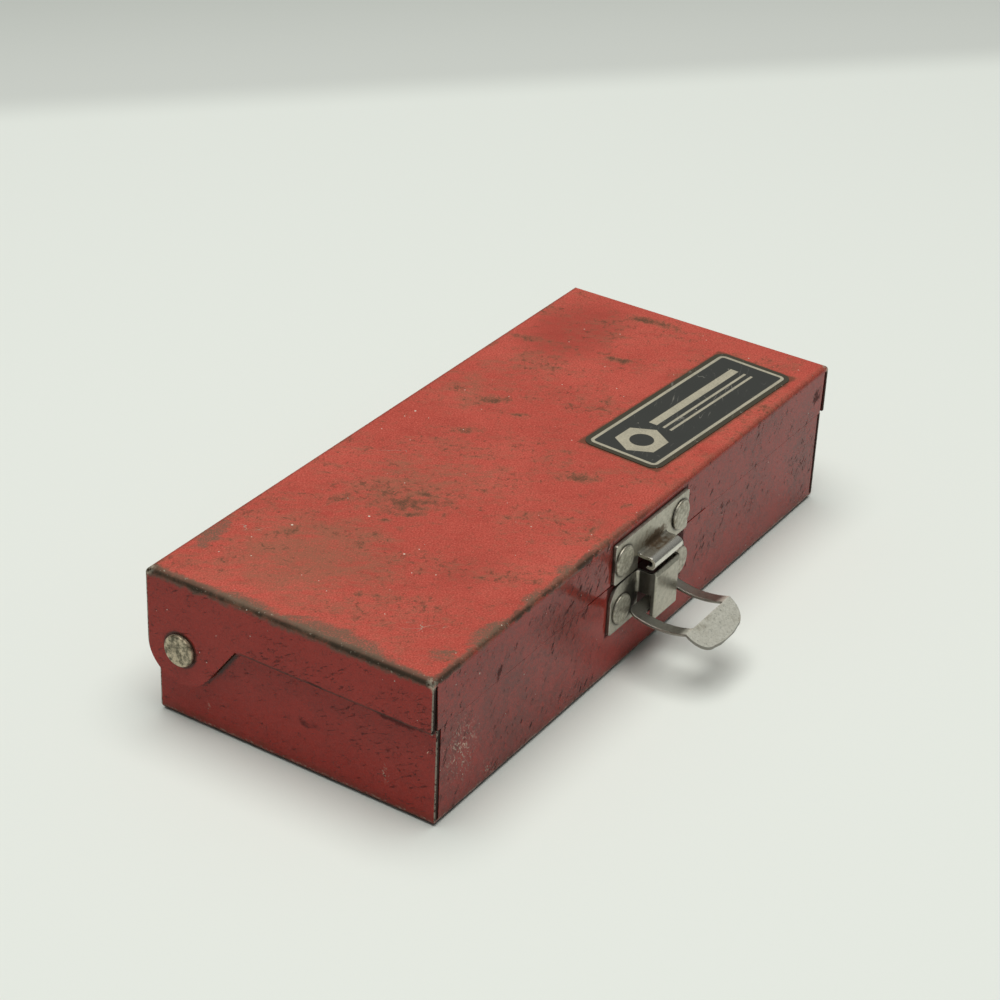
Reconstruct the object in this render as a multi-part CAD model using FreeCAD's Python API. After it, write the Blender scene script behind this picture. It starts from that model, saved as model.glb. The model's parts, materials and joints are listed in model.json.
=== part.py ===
import FreeCAD, Part
import math
import os

# A shallow sheet-steel box with a hinged lid and one snap latch.
# X runs along the box, the latch is on the -Y face, Z is up.
# The origin is on the surface the box stands on, under the middle of the lid.

# Lid and box, measured outside
lid_length = 177.8
lid_width = 76.2
box_height = 38.1
sheet = 0.9
bend_radius = 1.5
lid_flange_depth = 13.1
back_flange_depth = 9.5
lid_seam_top = 0.7
lid_seam_bottom = 1.2

# Base tray, measured from the lid that covers it
end_gap = 1.0
back_gap = 0.7
parting_gap = 0.06
base_seam = 0.5
wall_lap = 6.0
lap_setback = 1.2
lap_corner_radius = 5.0
latch_relief_width = 54.0
latch_relief_height = 0.3

# Hinge rivets, which the lid's ears turn on
ear_radius = 9.1
ear_run = 24.3
hinge_drop = 5.3
hinge_shank_radius = 2.0
hinge_running_clearance = 0.05
hinge_axial_play = 0.1
hinge_head_radius = 3.95
hinge_head_height = 1.0
hinge_head_rim = 0.6
hinge_tail_radius = 3.2
hinge_tail_height = 0.9
hinge_tail_rim = 0.5
washer_radius = 4.5

# Latch plates and their rivets
latch_offset = -0.4
latch_sheet = 0.8
plate_corner_radius = 0.8
strike_lift = 0.2
strike_inset = 2.4
strike_rivet_gap = 2.8
strike_rivet_margin = 3.8
keeper_height = 12.4
keeper_drop = 0.4
keeper_corner_radius = 4.5
keeper_end_straight = 0.4
keeper_left_gap = 2.05
keeper_left_margin = 4.8
keeper_right_gap = 2.55
keeper_right_margin = 2.9
keeper_rivet_lift = 5.3
latch_head_radius = 3.75
latch_head_height = 0.6
latch_head_rim = 0.4
latch_shank_radius = 1.6
latch_tail_radius = 2.7
latch_tail_height = 0.8
latch_tail_rim = 0.4
rivet_hole_clearance = 0.03

# Hat of the keeper plate, which traps the lever's crossbar
hat_width = 12.4
hat_bend_radius = 1.5
hat_root_radius = 0.9
hat_lip_height = 1.0
hat_lip_depth = 0.5
hat_window_height = 5.8
hat_window_lift = 0.9

# Rolled bead of the strike plate
bead_side_clearance = 0.8
bead_lift = 3.95
bead_radius = 1.6
bead_standoff = 3.9
bead_root_radius = 0.9
bead_curl_angle = 215.0

# Thumb lever, in the pose of the photograph: arms level, pointing out of the front
pivot_lift = 2.9
crossbar_clearance = 0.4
lever_slide = 0.4
lever_sheet = 0.6
lever_sag = 1.2
lever_side_clearance = 0.9
lever_arm_width = 3.1
lever_root_radius = 2.4
lever_window_radius = 0.4
tab_reach = 5.8
tab_drop_angle = 33.0
tab_corner_radius = 4.6
tab_crown = 0.6
bead_snap_clearance = 0.4

# Foil label on the lid
label_length = 61.9
label_width = 22.0
label_thickness = 0.2
label_corner_radius = 3.0
label_inset_end = 42.5
label_inset_front = 16.6
label_turn_angle = -3.7

# Working lengths: what a cut overruns by, and how close two places count as one
overrun = 3.0
snap = 0.01

# Places that several pieces share
lid_half_length = lid_length / 2
lid_half_width = lid_width / 2
parting_height = box_height - lid_flange_depth
front_face = -lid_half_width
base_half_length = lid_half_length - sheet - end_gap
base_back = lid_half_width - sheet - back_gap
front_wall_top = parting_height - parting_gap
wall_top = parting_height + wall_lap
hinge_place_y = lid_half_width - ear_radius
hinge_height = parting_height - hinge_drop
plate_face = front_face - latch_sheet
strike_bottom = parting_height + strike_lift
strike_top = box_height - strike_inset
strike_rivet_height = (strike_bottom + strike_top) / 2
keeper_top = parting_height - keeper_drop
keeper_bottom = keeper_top - keeper_height
keeper_rivet_height = keeper_bottom + keeper_rivet_lift
hat_face = plate_face - crossbar_clearance * 2 - lever_arm_width - latch_sheet
pivot_y = plate_face - crossbar_clearance - lever_arm_width / 2
pivot_height = keeper_bottom + pivot_lift
lever_middle = latch_offset - lever_slide
bead_top = parting_height + bead_lift
lever_reach = bead_top + bead_snap_clearance - pivot_height
latch_hole_radius = latch_shank_radius + rivet_hole_clearance
through_plate = (plate_face - overrun, front_face + overrun)
lever_window_width = hat_width + lever_side_clearance * 2
lever_width = lever_window_width + lever_arm_width * 2
bead_width = lever_window_width - bead_side_clearance * 2
strike_rivet_reach = bead_width / 2 + strike_rivet_gap + latch_head_radius
strike_width = (strike_rivet_reach + strike_rivet_margin) * 2
strike_rivet_places = [latch_offset - strike_rivet_reach, latch_offset + strike_rivet_reach]
hat_reach = hat_width / 2 + hat_root_radius + latch_head_radius
keeper_rivet_left = latch_offset - hat_reach - keeper_left_gap
keeper_rivet_right = latch_offset + hat_reach + keeper_right_gap
keeper_rivet_places = [keeper_rivet_left, keeper_rivet_right]

along_x = FreeCAD.Vector(1, 0, 0)
along_y = FreeCAD.Vector(0, 1, 0)
along_z = FreeCAD.Vector(0, 0, 1)


def block(x_range, y_range, z_range):
    """A box between three pairs of limits."""
    low = FreeCAD.Vector(x_range[0], y_range[0], z_range[0])
    sizes = [x_range[1] - x_range[0], y_range[1] - y_range[0], z_range[1] - z_range[0]]
    return Part.makeBox(sizes[0], sizes[1], sizes[2], low)


def around(middle, width):
    """The limits of a width that lies evenly about its middle."""
    return (middle - width / 2, middle + width / 2)


def pick_edges(shape, x=None, y=None, z=None):
    """The edges that lie wholly at the given coordinates."""
    wanted = [(axis, value) for axis, value in zip("xyz", (x, y, z)) if value is not None]
    picked = []
    for edge in shape.Edges:
        points = [edge.valueAt(edge.FirstParameter), edge.valueAt(edge.LastParameter), edge.CenterOfMass]
        if all(abs(getattr(point, axis) - value) < snap for point in points for axis, value in wanted):
            picked.append(edge)
    return picked


def bar_x(radius, x_range, y, z):
    """A round bar along X."""
    start = FreeCAD.Vector(x_range[0], y, z)
    return Part.makeCylinder(radius, x_range[1] - x_range[0], start, along_x)


def bar_y(radius, y_range, x, z):
    """A round bar along Y."""
    start = FreeCAD.Vector(x, y_range[0], z)
    return Part.makeCylinder(radius, y_range[1] - y_range[0], start, along_y)


def arc(centre, start, end, through):
    """An arc about a centre, between two points, on the side that a third point is on."""
    radius = (start - centre).Length
    middle = centre + (through - centre).normalize() * radius
    return Part.Arc(start, middle, end).toShape()


def line(start, end):
    return Part.LineSegment(start, end).toShape()


def prism(edges, push):
    """The solid that a closed outline sweeps out along a straight push."""
    outline = Part.Wire(Part.__sortEdges__(edges))
    return Part.Face(outline).extrude(push)


def side_point(y, z):
    """A point of a side outline, at the latch's middle or the box's."""
    return FreeCAD.Vector(0, y, z)


def make_base_tray():
    """Folded tray: low front wall, and end and back walls that lap inside the lid."""
    x_range = (-base_half_length, base_half_length)
    tray = block(x_range, (front_face, base_back), (0, wall_top))
    tray = tray.makeFillet(bend_radius, pick_edges(tray, z=0))
    inner_x = (x_range[0] + sheet, x_range[1] - sheet)
    inner_y = (front_face + sheet, base_back - sheet)
    hollow = block(inner_x, inner_y, (sheet, wall_top + overrun))
    hollow = hollow.makeFillet(bend_radius - sheet, pick_edges(hollow, z=sheet))
    tray = tray.cut(hollow)

    lap_front = front_face + sheet + lap_setback
    wide_x = (x_range[0] - overrun, x_range[1] + overrun)
    front_cut = block(wide_x, (front_face - overrun, lap_front), (front_wall_top, wall_top + overrun))
    tray = tray.cut(front_cut)
    tray = tray.makeFillet(lap_corner_radius, pick_edges(tray, y=lap_front, z=wall_top))

    seam_z = (bend_radius, wall_top + overrun)
    front_wall_y = (front_face - overrun, inner_y[0])
    back_wall_y = (inner_y[1], base_back + overrun)
    for seam_x in ((inner_x[0], inner_x[0] + base_seam), (inner_x[1] - base_seam, inner_x[1])):
        for wall_y in (front_wall_y, back_wall_y):
            tray = tray.cut(block(seam_x, wall_y, seam_z))

    hinge_hole = hinge_shank_radius + rivet_hole_clearance
    tray = tray.cut(bar_x(hinge_hole, wide_x, hinge_place_y, hinge_height))
    for place in keeper_rivet_places:
        tray = tray.cut(bar_y(latch_hole_radius, front_wall_y, place, keeper_rivet_height))
    return tray


def ear_tangent():
    """Where the straight front edge of an ear runs into its round end."""
    corner = side_point(lid_half_width - ear_run, parting_height)
    centre = side_point(hinge_place_y, hinge_height)
    away = corner - centre
    turn = math.acos(ear_radius / away.Length)
    heading = math.atan2(away.z, away.y) + turn
    return centre + side_point(math.cos(heading), math.sin(heading)) * ear_radius


def lid_side_outline():
    """The lid seen from its end: flange, ear and back edge."""
    centre = side_point(hinge_place_y, hinge_height)
    front_top = side_point(front_face, box_height)
    front_low = side_point(front_face, parting_height)
    ear_start = side_point(lid_half_width - ear_run, parting_height)
    ear_front = ear_tangent()
    ear_back = side_point(lid_half_width, hinge_height)
    back_top = side_point(lid_half_width, box_height)
    below = centre - along_z * ear_radius
    return [
        line(front_top, front_low),
        line(front_low, ear_start),
        line(ear_start, ear_front),
        arc(centre, ear_front, ear_back, below),
        line(ear_back, back_top),
        line(back_top, front_top),
    ]


def seam_wedge(side, y_range):
    """The open corner seam beside an end flange, wider towards the bottom."""
    flange = lid_half_length - sheet
    top = box_height - bend_radius
    low = parting_height - overrun
    corners = [
        FreeCAD.Vector(side * flange, y_range[0], top),
        FreeCAD.Vector(side * (flange - lid_seam_top), y_range[0], top),
        FreeCAD.Vector(side * (flange - lid_seam_bottom), y_range[0], parting_height),
        FreeCAD.Vector(side * (flange - lid_seam_bottom), y_range[0], low),
        FreeCAD.Vector(side * flange, y_range[0], low),
    ]
    sides = [line(corners[i - 1], corners[i]) for i in range(len(corners))]
    return prism(sides, along_y * (y_range[1] - y_range[0]))


def make_lid_shell():
    """Folded lid: flanges on four sides, and an ear at the back of each end."""
    lowest = hinge_height - ear_radius - overrun
    lid = block((-lid_half_length, lid_half_length), (front_face, lid_half_width), (lowest, box_height))
    lid = lid.makeFillet(bend_radius, pick_edges(lid, z=box_height))
    inner_x = (-lid_half_length + sheet, lid_half_length - sheet)
    inner_y = (front_face + sheet, lid_half_width - sheet)
    ceiling = box_height - sheet
    hollow = block(inner_x, inner_y, (lowest - overrun, ceiling))
    hollow = hollow.makeFillet(bend_radius - sheet, pick_edges(hollow, z=ceiling))
    lid = lid.cut(hollow)

    keep = prism(lid_side_outline(), along_x * lid_length)
    keep.translate(along_x * -lid_half_length)
    lid = lid.common(keep)

    back_y = (inner_y[1], lid_half_width + overrun)
    front_y = (front_face - overrun, inner_y[0])
    lid = lid.cut(block(inner_x, back_y, (lowest, box_height - back_flange_depth)))
    for side in (-1, 1):
        lid = lid.cut(seam_wedge(side, front_y))
        lid = lid.cut(seam_wedge(side, back_y))
    relief_z = (parting_height - overrun, parting_height + latch_relief_height)
    lid = lid.cut(block(around(latch_offset, latch_relief_width), front_y, relief_z))

    hinge_hole = hinge_shank_radius + hinge_running_clearance
    wide_x = (-lid_half_length - overrun, lid_half_length + overrun)
    lid = lid.cut(bar_x(hinge_hole, wide_x, hinge_place_y, hinge_height))
    for place in strike_rivet_places:
        lid = lid.cut(bar_y(latch_hole_radius, front_y, place, strike_rivet_height))
    return lid


def stand_rivet(head, shank_radius, grip, tail):
    """A rivet along Z: its head below zero, its clinched tail beyond the grip.

    The head and the tail are each given as radius, height and rim radius.
    """
    head_radius, head_height, head_rim = head
    tail_radius, tail_height, tail_rim = tail
    head_solid = Part.makeCylinder(head_radius, head_height, FreeCAD.Vector(0, 0, -head_height), along_z)
    head_solid = head_solid.makeFillet(head_rim, pick_edges(head_solid, z=-head_height))
    tail_solid = Part.makeCylinder(tail_radius, tail_height, FreeCAD.Vector(0, 0, grip), along_z)
    tail_solid = tail_solid.makeFillet(tail_rim, pick_edges(tail_solid, z=grip + tail_height))
    shank = Part.makeCylinder(shank_radius, grip, FreeCAD.Vector(0, 0, 0), along_z)
    return head_solid.fuse(shank).fuse(tail_solid).removeSplitter()


def make_latch_rivet(place_x, place_z):
    """A rivet through a latch plate and the sheet behind it, with its head to the front."""
    head = (latch_head_radius, latch_head_height, latch_head_rim)
    tail = (latch_tail_radius, latch_tail_height, latch_tail_rim)
    rivet = stand_rivet(head, latch_shank_radius, latch_sheet + sheet, tail)
    turn = FreeCAD.Rotation(along_x, -90)
    rivet.Placement = FreeCAD.Placement(FreeCAD.Vector(place_x, plate_face, place_z), turn)
    return rivet


def make_hinge_rivet(side):
    """A rivet through an ear, a washer and an end wall, with its head outside."""
    head = (hinge_head_radius, hinge_head_height, hinge_head_rim)
    tail = (hinge_tail_radius, hinge_tail_height, hinge_tail_rim)
    grip = hinge_axial_play + sheet + end_gap + sheet
    rivet = stand_rivet(head, hinge_shank_radius, grip, tail)
    turn = FreeCAD.Rotation(along_y, -side * 90)
    place = FreeCAD.Vector(side * (lid_half_length + hinge_axial_play), hinge_place_y, hinge_height)
    rivet.Placement = FreeCAD.Placement(place, turn)
    return rivet


def make_hinge_washer(side):
    """The spacer that keeps an ear off the end wall."""
    thickness = end_gap - hinge_axial_play
    ends = sorted([side * base_half_length, side * (base_half_length + thickness)])
    washer = bar_x(washer_radius, ends, hinge_place_y, hinge_height)
    hole = hinge_shank_radius + rivet_hole_clearance
    return washer.cut(bar_x(hole, (ends[0] - overrun, ends[1] + overrun), hinge_place_y, hinge_height))


def make_keeper_plate():
    """Hat-shaped plate on the base: two riveted flanges and a channel for the lever's crossbar."""
    plate_x = (keeper_rivet_left - keeper_left_margin, keeper_rivet_right + keeper_right_margin)
    plate_z = (keeper_bottom, keeper_top)
    hat_x = around(latch_offset, hat_width)
    keeper = block(plate_x, (plate_face, front_face), plate_z)
    keeper = keeper.fuse(block(hat_x, (hat_face, front_face), plate_z)).removeSplitter()
    outer_bends = [edge for x in hat_x for edge in pick_edges(keeper, x=x, y=hat_face)]
    keeper = keeper.makeFillet(hat_bend_radius, outer_bends)
    root_bends = [edge for x in hat_x for edge in pick_edges(keeper, x=x, y=plate_face)]
    keeper = keeper.makeFillet(hat_root_radius, root_bends)

    channel_face = hat_face + latch_sheet
    channel_x = (hat_x[0] + latch_sheet, hat_x[1] - latch_sheet)
    tall_z = (keeper_bottom - overrun, keeper_top + overrun)
    channel = block(channel_x, (channel_face, front_face + overrun), tall_z)
    inner_bends = [edge for x in channel_x for edge in pick_edges(channel, x=x, y=channel_face)]
    keeper = keeper.cut(channel.makeFillet(hat_bend_radius - latch_sheet, inner_bends))

    end_radius = (keeper_height - keeper_end_straight) / 2
    end_corners = [edge for z in plate_z for edge in pick_edges(keeper, x=plate_x[1], z=z)]
    keeper = keeper.makeFillet(end_radius, end_corners)
    keeper = keeper.makeFillet(keeper_corner_radius, pick_edges(keeper, x=plate_x[0], z=keeper_top))
    keeper = keeper.makeFillet(plate_corner_radius, pick_edges(keeper, x=plate_x[0], z=keeper_bottom))

    window_low = keeper_bottom + hat_window_lift
    window_z = (window_low, window_low + hat_window_height)
    window_x = (hat_x[0] - hat_root_radius, hat_x[1] + hat_root_radius)
    keeper = keeper.cut(block(window_x, (channel_face, plate_face), window_z))
    keeper = keeper.cut(hat_lip_cut(hat_x))

    for place in keeper_rivet_places:
        keeper = keeper.cut(bar_y(latch_hole_radius, through_plate, place, keeper_rivet_height))
    return keeper


def hat_lip_cut(hat_x):
    """What the bevel along the top of the hat takes away."""
    low = FreeCAD.Vector(hat_x[0] - overrun, hat_face, keeper_top - hat_lip_height)
    back = FreeCAD.Vector(low.x, hat_face + hat_lip_depth, keeper_top)
    out = FreeCAD.Vector(low.x, hat_face, keeper_top)
    sides = [line(low, back), line(back, out), line(out, low)]
    return prism(sides, along_x * (hat_x[1] - hat_x[0] + overrun * 2))


def bead_outline():
    """The rolled tongue of the strike plate, seen from its end."""
    bead_y = front_face - bead_standoff
    centre = side_point(bead_y, bead_top - bead_radius)
    root = side_point(plate_face - bead_root_radius, bead_top + bead_root_radius)
    hollow_radius = bead_radius - latch_sheet
    outer_root = bead_root_radius + latch_sheet

    plate_front = side_point(plate_face, root.z)
    plate_back = side_point(front_face, root.z)
    top_start = side_point(root.y, bead_top)
    top_end = side_point(bead_y, bead_top)
    under_start = side_point(root.y, bead_top - latch_sheet)
    under_end = side_point(bead_y, bead_top - latch_sheet)
    half_curl = math.radians(90 + bead_curl_angle / 2)
    full_curl = math.radians(90 + bead_curl_angle)
    outward = side_point(math.cos(half_curl), math.sin(half_curl))
    tip = side_point(math.cos(full_curl), math.sin(full_curl))
    towards_root = side_point(math.cos(math.radians(45)), -math.sin(math.radians(45)))
    return [
        line(plate_back, plate_front),
        arc(root, plate_front, top_start, root + towards_root),
        line(top_start, top_end),
        arc(centre, top_end, centre + tip * bead_radius, centre + outward),
        line(centre + tip * bead_radius, centre + tip * hollow_radius),
        arc(centre, centre + tip * hollow_radius, under_end, centre + outward),
        line(under_end, under_start),
        arc(root, under_start, root + along_y * outer_root, root + towards_root),
    ]


def make_strike_plate():
    """Plate on the lid whose lower tongue is rolled out into the bead that the lever snaps over."""
    plate_z = (strike_bottom, strike_top)
    plate_x = around(latch_offset, strike_width)
    strike = block(plate_x, (plate_face, front_face), plate_z)
    corners = [edge for x in plate_x for z in plate_z for edge in pick_edges(strike, x=x, z=z)]
    strike = strike.makeFillet(plate_corner_radius, corners)
    tongue_x = around(latch_offset, bead_width)
    notch_z = (strike_bottom - overrun, bead_top + bead_root_radius)
    notch = block(tongue_x, through_plate, notch_z)
    tongue = prism(bead_outline(), along_x * bead_width)
    tongue.translate(along_x * tongue_x[0])
    strike = strike.cut(notch).fuse(tongue).removeSplitter()
    for place in strike_rivet_places:
        strike = strike.cut(bar_y(latch_hole_radius, through_plate, place, strike_rivet_height))
    return strike


def lever_side_outline():
    """The lever seen from its end: a bowed arm and a tab that turns down from it."""
    arm_radius = lever_reach ** 2 / 8 / lever_sag + lever_sag / 2
    centre = side_point(pivot_y - lever_reach / 2, pivot_height + arm_radius - lever_sag)
    bow = math.asin(lever_reach / 2 / arm_radius)
    root_turn = bow + lever_arm_width / 2 / arm_radius
    root_way = side_point(math.sin(root_turn), -math.cos(root_turn))
    end_way = side_point(-math.sin(bow), -math.cos(bow))
    drop = math.radians(tab_drop_angle)
    tab_way = side_point(-math.cos(drop), -math.sin(drop))
    tab_out = side_point(-math.sin(drop), math.cos(drop))
    inner_radius = arm_radius - lever_sheet / 2
    outer_radius = arm_radius + lever_sheet / 2
    tab_slope = tab_reach / math.cos(drop)

    bend = centre + end_way * arm_radius
    tip = bend + tab_way * tab_slope
    upper_bend = centre + end_way * inner_radius
    lower_bend = lower_bend_point(centre, outer_radius, bend - tab_out * (lever_sheet / 2), tab_way)
    upper_tip = tip + tab_out * (lever_sheet / 2)
    lower_tip = tip - tab_out * (lever_sheet / 2)
    upper_root = centre + root_way * inner_radius
    lower_root = centre + root_way * outer_radius
    upper_tab = bend + tab_out * (lever_sheet / 2)
    return [
        line(upper_root, lower_root),
        arc(centre, lower_root, lower_bend, centre - along_z),
        line(lower_bend, lower_tip),
        line(lower_tip, upper_tip),
        line(upper_tip, upper_tab),
        arc(bend, upper_tab, upper_bend, bend + tab_out + upper_bend - bend),
        arc(centre, upper_bend, upper_root, centre - along_z),
    ]


def lower_bend_point(centre, radius, start, way):
    """Where the underside of the tab, run back, meets the underside of the arm."""
    away = start - centre
    half = away.dot(way)
    reach = half ** 2 - away.dot(away) + radius ** 2
    return start + way * (math.sqrt(reach) - half)


def lever_plan_outline():
    """The lever seen from above: round root corners, straight arms and a round thumb tab."""
    half = lever_width / 2
    root_y = pivot_y + lever_arm_width / 2
    bend_y = pivot_y - lever_reach
    tip_y = bend_y - tab_reach
    corner_y = tip_y + tab_crown

    def place(x, y):
        return FreeCAD.Vector(lever_middle + x, y, 0)

    edges = [line(place(-half + lever_root_radius, root_y), place(half - lever_root_radius, root_y))]
    for side in (-1, 1):
        root_centre = place(side * (half - lever_root_radius), root_y - lever_root_radius)
        root_in = root_centre + along_y * lever_root_radius
        root_out = root_centre + along_x * (side * lever_root_radius)
        edges.append(arc(root_centre, root_in, root_out, root_in + root_out - root_centre))
        tab_centre = place(side * (half - tab_corner_radius), corner_y + tab_corner_radius)
        tab_side = tab_centre + along_x * (side * tab_corner_radius)
        tab_end = tab_centre - along_y * tab_corner_radius
        edges.append(line(root_out, tab_side))
        edges.append(arc(tab_centre, tab_side, tab_end, tab_side + tab_end - tab_centre))
    crown_half = half - tab_corner_radius
    crown = Part.Arc(place(-crown_half, corner_y), place(0, tip_y), place(crown_half, corner_y))
    edges.append(crown.toShape())
    return edges


def make_thumb_lever():
    """Stamped ring: a crossbar on the pivot, two bowed arms and a thumb tab."""
    ring = prism(lever_plan_outline(), along_z * (box_height * 2))
    ring.translate(along_z * -box_height)
    window_x = around(lever_middle, lever_window_width)
    window_y = (pivot_y - lever_reach, pivot_y - lever_arm_width / 2)
    window = block(window_x, window_y, (-box_height, box_height))
    corners = [edge for x in window_x for y in window_y for edge in pick_edges(window, x=x, y=y)]
    ring = ring.cut(window.makeFillet(lever_window_radius, corners))
    band = prism(lever_side_outline(), along_x * (lever_width + overrun * 2))
    band.translate(along_x * (lever_middle - lever_width / 2 - overrun))
    return band.common(ring)


def make_label_plate():
    """Thin foil label, lying a little askew on the lid."""
    label = block(around(0, label_length), around(0, label_width), (0, label_thickness))
    corners = [edge for x in around(0, label_length) for edge in pick_edges(label, x=x)
               if abs(edge.CenterOfMass.y) > label_width / 2 - snap]
    label = label.makeFillet(label_corner_radius, corners)
    place_x = lid_half_length - label_inset_end
    place_y = front_face + label_inset_front
    place = FreeCAD.Vector(place_x, place_y, box_height)
    label.Placement = FreeCAD.Placement(place, FreeCAD.Rotation(along_z, label_turn_angle))
    return label


pieces = {
    "base_tray": make_base_tray(),
    "lid_shell": make_lid_shell(),
    "keeper_plate": make_keeper_plate(),
    "strike_plate": make_strike_plate(),
    "thumb_lever": make_thumb_lever(),
    "label_plate": make_label_plate(),
}
for side, name in ((-1, "left"), (1, "right")):
    pieces["hinge_rivet_" + name] = make_hinge_rivet(side)
    pieces["hinge_washer_" + name] = make_hinge_washer(side)
for place, name in zip(strike_rivet_places, ("left", "right")):
    pieces["strike_rivet_" + name] = make_latch_rivet(place, strike_rivet_height)
for place, name in zip(keeper_rivet_places, ("left", "right")):
    pieces["keeper_rivet_" + name] = make_latch_rivet(place, keeper_rivet_height)

os.makedirs("parts", exist_ok=True)
for name, shape in pieces.items():
    shape.exportStep(os.path.join("parts", name + ".step"))
    state = "valid" if shape.isValid() else "not valid"
    print(name, len(shape.Solids), "solid", state, round(shape.Volume, 1))
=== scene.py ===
"""Looks of a small red steel box with a hinged lid and a snap latch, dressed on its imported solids.

Lengths are in millimetres in the frame of the solids: +X along the box, -Y out of the face with the
latch, +Z up. Turns are in degrees. Colours are linear.
"""
import json
import math

import bpy
from mathutils import Euler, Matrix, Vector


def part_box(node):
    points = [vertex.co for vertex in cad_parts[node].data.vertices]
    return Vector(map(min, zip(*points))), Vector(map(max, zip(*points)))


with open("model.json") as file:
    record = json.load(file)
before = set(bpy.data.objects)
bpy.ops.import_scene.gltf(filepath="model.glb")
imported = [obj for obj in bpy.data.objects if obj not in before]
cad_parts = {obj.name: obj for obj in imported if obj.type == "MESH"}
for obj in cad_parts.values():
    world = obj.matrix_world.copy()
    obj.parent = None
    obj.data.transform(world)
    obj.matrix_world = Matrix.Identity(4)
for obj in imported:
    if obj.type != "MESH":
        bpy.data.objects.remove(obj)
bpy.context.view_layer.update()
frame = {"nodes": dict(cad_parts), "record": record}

MM = 1000.0

# ---- colours ----

RED_PALE = (0.60, 0.140, 0.103)
RED_FADED = (0.52, 0.090, 0.063)
RED = (0.45, 0.068, 0.047)
RED_DEEP = (0.29, 0.038, 0.026)
RED_SIDE = (0.41, 0.021, 0.013)
GRIME = (0.082, 0.045, 0.023)
FILM = (0.260, 0.105, 0.060)
SIDE_FILM = (0.150, 0.036, 0.027)
# Dark oxide on pits and worn edges, also painted shadow under the lid's edge and ears and painted shade
# round the hinge heads
OXIDE_AND_SHADE = (0.036, 0.028, 0.018)
OLIVE = (0.130, 0.094, 0.060)
RIM = (0.060, 0.042, 0.026)
BARE_STEEL = (0.52, 0.48, 0.38)
DUST = (0.74, 0.66, 0.55)
# Dark red of nicks, scuffs and smears, also painted shade along the latch plates' rims
NICK_AND_SHADE = (0.060, 0.010, 0.007)
RUST = (0.110, 0.066, 0.032)
# Near black: painted shade in the steel's corners and gaps, in the seams' hollows and beside the
# keeper's hat, and grime round the latch rivets
CORNER_SHADE_AND_GRIME = (0.018, 0.014, 0.010)
# Bright worn steel, also a painted highlight along the steel's edges and on the strike plate's bead
POLISH_AND_HIGHLIGHT = (0.88, 0.86, 0.79)
# Tarnish, also painted shade on the side faces of the lever's tab
TARNISH_AND_SHADE = (0.14, 0.13, 0.11)
CREAM = (0.44, 0.41, 0.31)
CHARCOAL = (0.036, 0.038, 0.034)
LABEL_RIM = (0.050, 0.044, 0.028)
LABEL_SCRATCH = (0.30, 0.29, 0.25)
LABEL_FLECK = (0.34, 0.32, 0.27)

# ---- lengths of the solids that the finishes follow ----

# The shells' thickness, the outer radius of their bends and the height that the lid's flanges end at
SHEET = 0.9
BEND = 1.5
PARTING = 25.0
# The lid's ears: where they start in y, their radius round the hinge, and the share in y and in z of
# the slanting edge that runs down to them
EAR_START = 13.8
EAR_RADIUS = 9.1
EAR_SLOPE = (0.593, 0.805)
# The label on the lid's top, with the pale line that runs inside its border
LABEL_TURN = -3.7
LABEL_SIZE = (61.9, 22.0)
LABEL_RADIUS = 3.0
LABEL_BORDER = 1.35
LABEL_KEYLINE = 0.85
# The latch: the plates' outer face in y, the sides of the keeper's hat, and where the lever's arms end
# and its tab begins in y
PLATE_FACE = -38.9
HAT_SIDES = (-6.6, 5.8)
TAB_ROOT = -55.1
# Where the strike plate's shelf turns into its bead in y, the height of that plate's lower edge, and a
# height just above the keeper's upper edge
BEAD_BACK, BEAD_FRONT = -41.6, -42.4
STRIKE_FOOT = 25.2
KEEPER_END = 24.9


class Value:
    """A number, colour or vector that a material works out at each point of a surface."""

    def __init__(self, graph, socket):
        self.graph = graph
        self.socket = socket

    def __add__(self, other):
        return self.graph.math("ADD", self, other)

    __radd__ = __add__

    def __sub__(self, other):
        return self.graph.math("SUBTRACT", self, other)

    def __rsub__(self, other):
        return self.graph.math("SUBTRACT", other, self)

    def __mul__(self, other):
        return self.graph.math("MULTIPLY", self, other)

    __rmul__ = __mul__

    def __or__(self, other):
        return self.graph.math("MAXIMUM", self, other)

    def __and__(self, other):
        return self.graph.math("MINIMUM", self, other)

    def __abs__(self):
        return self.graph.math("ABSOLUTE", self)


# A mark fades out from its core to its reach, both in units of its half sizes
MARK_CORE = 0.1
MARK_REACH = 1.25
# Size of a mark along the axis that it doesn't vary along
ENDLESS = 1e5
# Rays that the edges and the corners of the steel are found with
EDGE_SAMPLES = 6


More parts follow.
